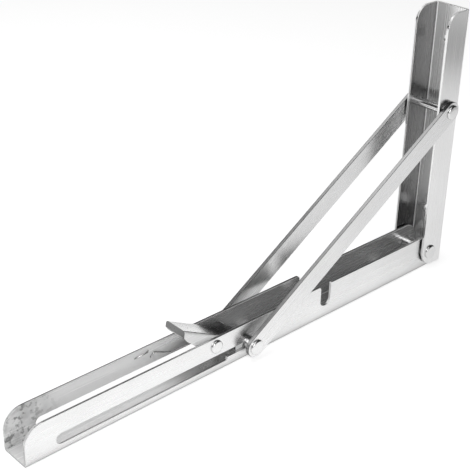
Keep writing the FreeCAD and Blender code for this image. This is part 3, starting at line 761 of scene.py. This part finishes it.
@dataclass
class HeadedRivet:
    """A rivet turned from bar, with a soft crown on each head.

    Attributes:
        name: Name of the new piece.
        node: CAD node that it replaces.
        body: Body that it rides on.
        shank_radius: Radius of the rivet in the plates.
        sides: Sides that have a head.
        seat: Distance of the heads' undersides from the middle plane.
        barrel_radius: Radius between the plates, where it is thicker.
        barrel_half: Half the length of that part.
        segments: Faces around the rivet.
        crown: Outline of a head, as shares of its radius and of its height.
    """

    name: str
    node: str
    body: str
    shank_radius: float
    sides: tuple[Side, ...]
    seat: float
    barrel_radius: float = 0.0
    barrel_half: float = 0.0
    segments: int = 72
    crown: tuple[Span, ...] = ((1.0, 0.0), (1.0, 0.30), (0.965, 0.62), (0.88, 0.84), (0.72, 0.95),
                               (0.40, 1.0))

    def build(self, material: bpy.types.Material) -> bpy.types.Object:
        """Model the rivet in place of its CAD node.

        Args:
            material: Finish of the rivet.

        Returns:
            The finished piece.
        """
        low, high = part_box(self.node)
        middle = centre(self.node)
        axis = Vector((middle.x, 0.0, middle.z))
        piece = self._bar(axis, *self._ends(low, high))
        for side in self.sides:
            height = abs(high.y if side is Side.FAR else low.y) - self.seat
            self._head(piece, axis, side.value, (high.x - low.x) / 2, height)
        pick(piece)
        bpy.ops.object.shade_smooth_by_angle(angle=SMOOTH_BELOW)
        dress(piece, material)
        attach(piece, self.body)
        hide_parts(self.node)
        return piece

    def _ends(self, low: Vector, high: Vector) -> Span:
        """Give the ends of the first bar along Y.

        Args:
            low: Lowest corner of the CAD node.
            high: Highest corner of the CAD node.

        Returns:
            The lower and the upper end.
        """
        if self.barrel_radius:
            return -self.barrel_half, self.barrel_half
        if len(self.sides) == len(Side):
            return -self.seat, self.seat
        inner = low.y if self.sides[0] is Side.FAR else high.y
        outer = self.sides[0].value * self.seat
        return min(inner, outer), max(inner, outer)

    def _bar(self, axis: Vector, start: float, end: float) -> bpy.types.Object:
        """Lay the first bar along Y.

        Args:
            axis: Point on the rivet's axis.
            start: Its lower end.
            end: Its upper end.

        Returns:
            The bar.
        """
        deselect()
        bpy.ops.mesh.primitive_cylinder_add(
            vertices=self.segments, radius=self.barrel_radius or self.shank_radius,
            depth=end - start, end_fill_type="NGON", rotation=(math.radians(90), 0, 0),
            location=(axis.x, (start + end) / 2, axis.z))
        piece = bpy.context.object
        piece.name = self.name
        bpy.ops.object.transform_apply(location=True, rotation=True, scale=True)
        return piece

    def _head(self, piece: bpy.types.Object, axis: Vector, sign: int, radius: float,
              height: float) -> None:
        """Draw one end out to the head's seat and turn the head on it.

        Args:
            piece: Rivet so far.
            axis: Point on the rivet's axis.
            sign: Side of the head, as the sign of Y.
            radius: Radius of the head.
            height: Height of the head.
        """
        if self.barrel_radius:
            self._step(piece, axis, sign, self.shank_radius, sign * self.barrel_half)
        self._step(piece, axis, sign, self.shank_radius, sign * self.seat)
        for reach, rise in self.crown:
            self._step(piece, axis, sign, radius * reach, sign * (self.seat + height * rise))

    def _step(self, piece: bpy.types.Object, axis: Vector, sign: int, radius: float,
              place: float) -> None:
        """Extrude the end face on one side to a new radius and place.

        Args:
            piece: Rivet so far.
            axis: Point on the rivet's axis.
            sign: Side that grows, as the sign of Y.
            radius: New radius of the end face.
            place: New place of the end face along Y.
        """
        mesh = piece.data
        ends = [face for face in mesh.polygons if len(face.vertices) == self.segments]
        end = max(ends, key=lambda face: sign * face.center.y)
        for part in (*mesh.vertices, *mesh.edges, *mesh.polygons):
            part.select = False
        end.select = True
        corner = mesh.vertices[end.vertices[0]].co
        growth = radius / math.hypot(corner.x - axis.x, corner.z - axis.z)
        was = end.center.y
        pick(piece)
        bpy.ops.object.mode_set(mode="EDIT")
        bpy.ops.mesh.select_mode(type="FACE")
        bpy.ops.mesh.extrude_region_move()
        bpy.ops.transform.resize(value=(growth, 1.0, growth), center_override=(axis.x, was, axis.z))
        bpy.ops.transform.translate(value=(0.0, place - was, 0.0))
        bpy.ops.object.mode_set(mode="OBJECT")


@dataclass
class ShelfArm:
    """The channel that lies along the shelf, with its latch rivet.

    Attributes:
        rivet_seat: Outer face of the flanges from the middle plane.
        rivet_shank: Radius of the latch rivet.
    """

    rivet_seat: float = 12.25 * MM
    rivet_shank: float = 2.5 * MM

    def build(self, nodes: dict[str, bpy.types.Object],
              finishes: dict[str, bpy.types.Material]) -> list[bpy.types.Object]:
        """Dress the arm and model its latch rivet.

        Args:
            nodes: CAD nodes by name.
            finishes: Materials by name.

        Returns:
            The new pieces.
        """
        dress(nodes["shelf_arm"], finishes["shelf"])
        rivet = HeadedRivet("latch_rivet_turned", node="latch_rivet", body="shelf", sides=tuple(Side),
                            shank_radius=self.rivet_shank, seat=self.rivet_seat)
        return [rivet.build(finishes["rivet"])]


@dataclass
class WallArm:
    """The channel that stands on the wall, with the main pivot and the upper brace rivet.

    Attributes:
        plain_nodes: CAD nodes of the sleeve and the washers.
        pivot_seat: Outer face of the flanges from the middle plane.
        pivot_shank: Radius of the main pivot.
        upper_seat: Underside of the upper rivet's heads from the middle plane.
        upper_shank: Radius of the upper rivet in the braces.
        barrel_radius: Radius of the upper rivet between the flanges.
        barrel_half: Half the length of that part.
    """

    plain_nodes: tuple[str, ...] = ("pivot_sleeve", "pivot_washer_near", "pivot_washer_far",
                                    "brace_washer_near", "brace_washer_far")
    pivot_seat: float = 15.5 * MM
    pivot_shank: float = 3.0 * MM
    upper_seat: float = 19.75 * MM
    upper_shank: float = 3.0 * MM
    barrel_radius: float = 3.5 * MM
    barrel_half: float = 13.5 * MM

    def build(self, nodes: dict[str, bpy.types.Object],
              finishes: dict[str, bpy.types.Material]) -> list[bpy.types.Object]:
        """Dress the arm, its washers and its sleeve, and model its rivets.

        Args:
            nodes: CAD nodes by name.
            finishes: Materials by name.

        Returns:
            The new pieces.
        """
        dress(nodes["wall_arm"], finishes["wall"])
        for name in self.plain_nodes:
            dress(nodes[name], finishes["rivet"])
        pivot = HeadedRivet("pivot_rivet_turned", node="pivot_rivet", body="wall", sides=tuple(Side),
                            shank_radius=self.pivot_shank, seat=self.pivot_seat)
        upper = HeadedRivet("upper_rivet_turned", node="upper_rivet", body="wall", sides=tuple(Side),
                            shank_radius=self.upper_shank, seat=self.upper_seat,
                            barrel_radius=self.barrel_radius, barrel_half=self.barrel_half)
        return [pivot.build(finishes["rivet"]), upper.build(finishes["rivet"])]


@dataclass
class BracePair:
    """The two flat braces and the rivet ends that hold them to the slide pin.

    Attributes:
        outer_face: Outer face of the braces from the middle plane.
        stub_radius: Radius of the rivet ends in the braces.
    """

    outer_face: float = 19.65 * MM
    stub_radius: float = 2.6 * MM

    def build(self, nodes: dict[str, bpy.types.Object],
              finishes: dict[str, bpy.types.Material]) -> list[bpy.types.Object]:
        """Dress the braces and model the lower rivet ends.

        Args:
            nodes: CAD nodes by name.
            finishes: Materials by name.

        Returns:
            The new pieces.
        """
        for name in ("brace_near", "brace_far"):
            dress(nodes[name], finishes["brace"])
        near = HeadedRivet("lower_rivet_near_turned", node="lower_rivet_near", body="braces",
                           sides=(Side.NEAR,), shank_radius=self.stub_radius, seat=self.outer_face)
        end = near.build(finishes["rivet"])
        return [end, self._mirrored(end, "lower_rivet_far_turned", "lower_rivet_far")]

    @staticmethod
    def _mirrored(piece: bpy.types.Object, name: str, node: str) -> bpy.types.Object:
        """Copy a rivet end to the other side of the bracket.

        Args:
            piece: Rivet end on the near side.
            name: Name of the copy.
            node: CAD node that the copy replaces.

        Returns:
            The copy, with its own mesh.
        """
        twin = piece.copy()
        twin.data = piece.data.copy()
        twin.name = name
        bpy.context.scene.collection.objects.link(twin)
        pick(twin)
        bpy.ops.object.mode_set(mode="EDIT")
        bpy.ops.mesh.select_all(action="SELECT")
        bpy.ops.transform.mirror(constraint_axis=(False, True, False), center_override=(0.0, 0.0, 0.0))
        bpy.ops.mesh.flip_normals()
        bpy.ops.object.mode_set(mode="OBJECT")
        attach(twin, "braces")
        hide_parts(node)
        return twin


@dataclass
class SlideAndLatch:
    """The slide pin with its bushes, and the lever that holds it, with its twisting spring.

    Attributes:
        pin_nodes: CAD nodes of the slide pin and its bushes.
        coil_far: Y where the coil leaves the hooked leg, which stays with the shelf arm. Not used.
        coil_near: Y where the coil reaches the straight leg, which goes with the lever. Not used.
        merge_within: Distance within which the mesh's doubled corners are merged.
    """

    pin_nodes: tuple[str, ...] = ("slide_pin", "slide_bush_near", "slide_bush_far")
    coil_far: float = 6.65 * MM
    coil_near: float = 0.9 * MM
    merge_within: float = 0.001 * MM

    def build(self, nodes: dict[str, bpy.types.Object],
              finishes: dict[str, bpy.types.Material]) -> list[bpy.types.Object]:
        """Dress the pin, the bushes and the lever, and copy the spring as one smooth piece.

        Args:
            nodes: CAD nodes by name.
            finishes: Materials by name.

        Returns:
            The new pieces.
        """
        for name in self.pin_nodes:
            dress(nodes[name], finishes["rivet"])
        dress(nodes["latch_lever"], finishes["lever"])
        return [self._spring(nodes["latch_spring"], finishes["wire"])]

    def _spring(self, node: bpy.types.Object, material: bpy.types.Material) -> bpy.types.Object:
        """Copy the spring as one smooth piece in place of its CAD node.

        Args:
            node: CAD node of the spring.
            material: Finish of the wire.

        Returns:
            The new piece.
        """
        mesh = node.data.copy()
        mesh.transform(node.matrix_world)
        piece = bpy.data.objects.new("latch_spring_twisting", mesh)
        bpy.context.scene.collection.objects.link(piece)
        pick(piece)
        bpy.ops.object.mode_set(mode="EDIT")
        bpy.ops.mesh.select_all(action="SELECT")
        bpy.ops.mesh.remove_doubles(threshold=self.merge_within)
        bpy.ops.object.mode_set(mode="OBJECT")
        bpy.ops.object.shade_smooth_by_angle(angle=SMOOTH_BELOW)
        dress(piece, material)
        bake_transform(piece)
        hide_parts("latch_spring")
        return piece


@dataclass
class Studio:
    """Pale floor, soft boxes, the light around them and the camera of the photograph.

    Attributes:
        focal_pixels: Focal length in pixels of the square picture.
        picture: Width and height of the picture in pixels.
        sensor: Width of the camera's sensor, in Blender's millimetres.
        sees_from: Distance from which the camera sees things.
        camera_place: Place of the camera.
        right: Camera's right in the frame's axes.
        down: Camera's down in the frame's axes.
        ahead: Camera's view direction in the frame's axes.
        floor_side: Side of the square floor.
        box_side: Side of the square soft boxes.
        top_place: Place of the soft box overhead.
        top_power: Its power, in watts.
        front_place: Place of the soft box in front.
        front_power: Its power, in watts.
        aim_at: Point that both soft boxes face.
        backdrop: Light of the backdrop, up to the band.
        band_light: Light of the band above the backdrop, elsewhere and behind the wall arm.
        ceiling: Light of the ceiling, elsewhere and behind the wall arm.
        band_from: Heights over which the band begins, as sines of the angle.
        band_to: Heights over which it ends.
        turn_at: Smaller of a heading's X and Y, over which it turns to behind the wall arm.
    """

    focal_pixels: float = 1085.5
    picture: float = 470.0
    sensor: float = 36.0
    sees_from: float = 10 * MM
    camera_place: Point = (-462.5 * MM, -472.0 * MM, 437.7 * MM)
    right: Point = (0.73582, -0.67687, 0.02031)
    down: Point = (-0.30411, -0.35710, -0.88318)
    ahead: Point = (0.60505, 0.64368, -0.46860)
    floor_side: float = 12.0
    box_side: float = 1.2
    top_place: Point = (-0.15, 0.3, 1.5)
    top_power: float = 11.0
    front_place: Point = (-0.9, -1.3, 0.9)
    front_power: float = 15.0
    aim_at: Point = (0.0, 0.0, 0.05)
    backdrop: float = 0.9
    band_light: Span = (0.8, 0.15)
    ceiling: Span = (0.5, 1.0)
    band_from: Span = (0.30, 0.36)
    band_to: Span = (0.53, 0.62)
    turn_at: Span = (-0.1, 0.35)

    def floor(self) -> None:
        """Lay the floor under the bracket."""
        deselect()
        bpy.ops.mesh.primitive_plane_add(size=self.floor_side, location=(0.0, 0.0, 0.0))
        floor = bpy.context.object
        floor.name = "studio_floor"
        dress(floor, FloorFinish().material())

    def lights(self) -> None:
        """Hang the soft boxes and light the set around them."""
        self._soft_box("top_box", self.top_place, self.top_power)
        self._soft_box("front_box", self.front_place, self.front_power)
        self._surround()

    def _surround(self) -> None:
        """Surround the set with a pale backdrop, a band above it and a ceiling."""
        world = bpy.data.worlds.new("studio_world")
        bpy.context.scene.world = world
        world.use_nodes = True
        bench = Bench(world.node_tree)
        way = bench.axes(bench.add("ShaderNodeTexCoord").outputs["Generated"])
        across = bench.maths("MINIMUM", way["X"], way["Y"])
        below = bench.step(way["Z"], *self.band_from, self.backdrop, 0.0)
        band = bench.maths("MULTIPLY", bench.step(way["Z"], *self.band_from),
                           bench.step(way["Z"], *self.band_to, 1.0, 0.0))
        band = bench.maths("MULTIPLY", band, bench.step(across, *self.turn_at, *self.band_light))
        above = bench.maths("MULTIPLY", bench.step(way["Z"], *self.band_to),
                            bench.step(across, *self.turn_at, *self.ceiling))
        light = bench.maths("ADD", below, bench.maths("ADD", band, above))
        bench.feed(world.node_tree.nodes["Background"].inputs["Strength"], light)

    def _soft_box(self, name: str, place: Point, power: float) -> None:
        """Hang one square soft box that faces the bracket.

        Args:
            name: Name of the lamp.
            place: Where it hangs.
            power: Its power in watts.
        """
        bpy.ops.object.light_add(type="AREA", location=place)
        lamp = bpy.context.object
        lamp.name = name
        lamp.data.shape = "SQUARE"
        lamp.data.size = self.box_side
        lamp.data.energy = power
        aim = Vector(self.aim_at) - Vector(place)
        lamp.rotation_euler = aim.to_track_quat("-Z", "Y").to_euler()

    def camera(self) -> None:
        """Set up the camera as the photograph's camera stood."""
        lens = bpy.data.cameras.new("photo_camera")
        lens.sensor_fit = "HORIZONTAL"
        lens.sensor_width = self.sensor
        lens.lens = self.focal_pixels * self.sensor / self.picture
        lens.clip_start = self.sees_from
        camera = bpy.data.objects.new("photo_camera", lens)
        bpy.context.scene.collection.objects.link(camera)
        columns = (Vector(self.right), -Vector(self.down), -Vector(self.ahead))
        turn = Matrix(columns).transposed().to_4x4()
        camera.matrix_world = Matrix.Translation(self.camera_place) @ turn
        bpy.context.scene.camera = camera


def brace_lean() -> float:
    """Work out how steeply the braces stand, from the pins at their ends.

    Returns:
        The angle above the shelf arm, in radians.
    """
    along = centre("upper_rivet") - centre("slide_pin")
    return math.atan2(along.z, along.x)


def build_finishes() -> dict[str, bpy.types.Material]:
    """Build every finish of the bracket.

    Returns:
        The materials by the name that the sub-assemblies use.
    """
    # The shelf, wall, brace and lever finishes carry painted light and painted shade.
    named = {
        "shelf": ShelfSteel("shelf_satin", shade=0.68, roughness=0.26, grain=Grain.ALONG_X,
                            mark_depth=0.08, painted_light_shade=0.97, painted_light_metal=0.12),
        "wall": WallSteel("wall_satin", shade=0.72, roughness=0.26, grain=Grain.ALONG_Z),
        "brace": BraceSteel("brace_satin", shade=0.69, roughness=0.28, grain=Grain.ALONG_X,
                            lean=brace_lean()),
        "lever": LeverSteel("lever_satin", shade=0.70, roughness=0.26, grain=Grain.ALONG_X,
                            painted_light_shade=1.0, painted_light_metal=0.1),
        "rivet": SteelFinish("rivet_steel", shade=0.68, roughness=0.24, grain=Grain.ROUND,
                             mark_depth=0.05),
        "wire": SteelFinish("spring_wire", shade=0.62, roughness=0.16, grain=Grain.ROUND,
                            mark_depth=0.03),
    }
    return {name: finish.material() for name, finish in named.items()}


def main() -> None:
    """Load the frame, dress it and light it."""
    logging.basicConfig(level=logging.INFO, format="%(name)s: %(message)s")
    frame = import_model()
    finishes = build_finishes()
    for part in (ShelfArm(), WallArm(), BracePair(), SlideAndLatch()):
        for piece in part.build(frame["nodes"], finishes):
            LOG.info("%s: %s", type(part).__name__, piece.name)
    studio = Studio()
    studio.floor()
    studio.lights()
    studio.camera()
    bpy.context.scene.view_settings.view_transform = "Standard"
    deselect()


if __name__ == "__main__":
    main()
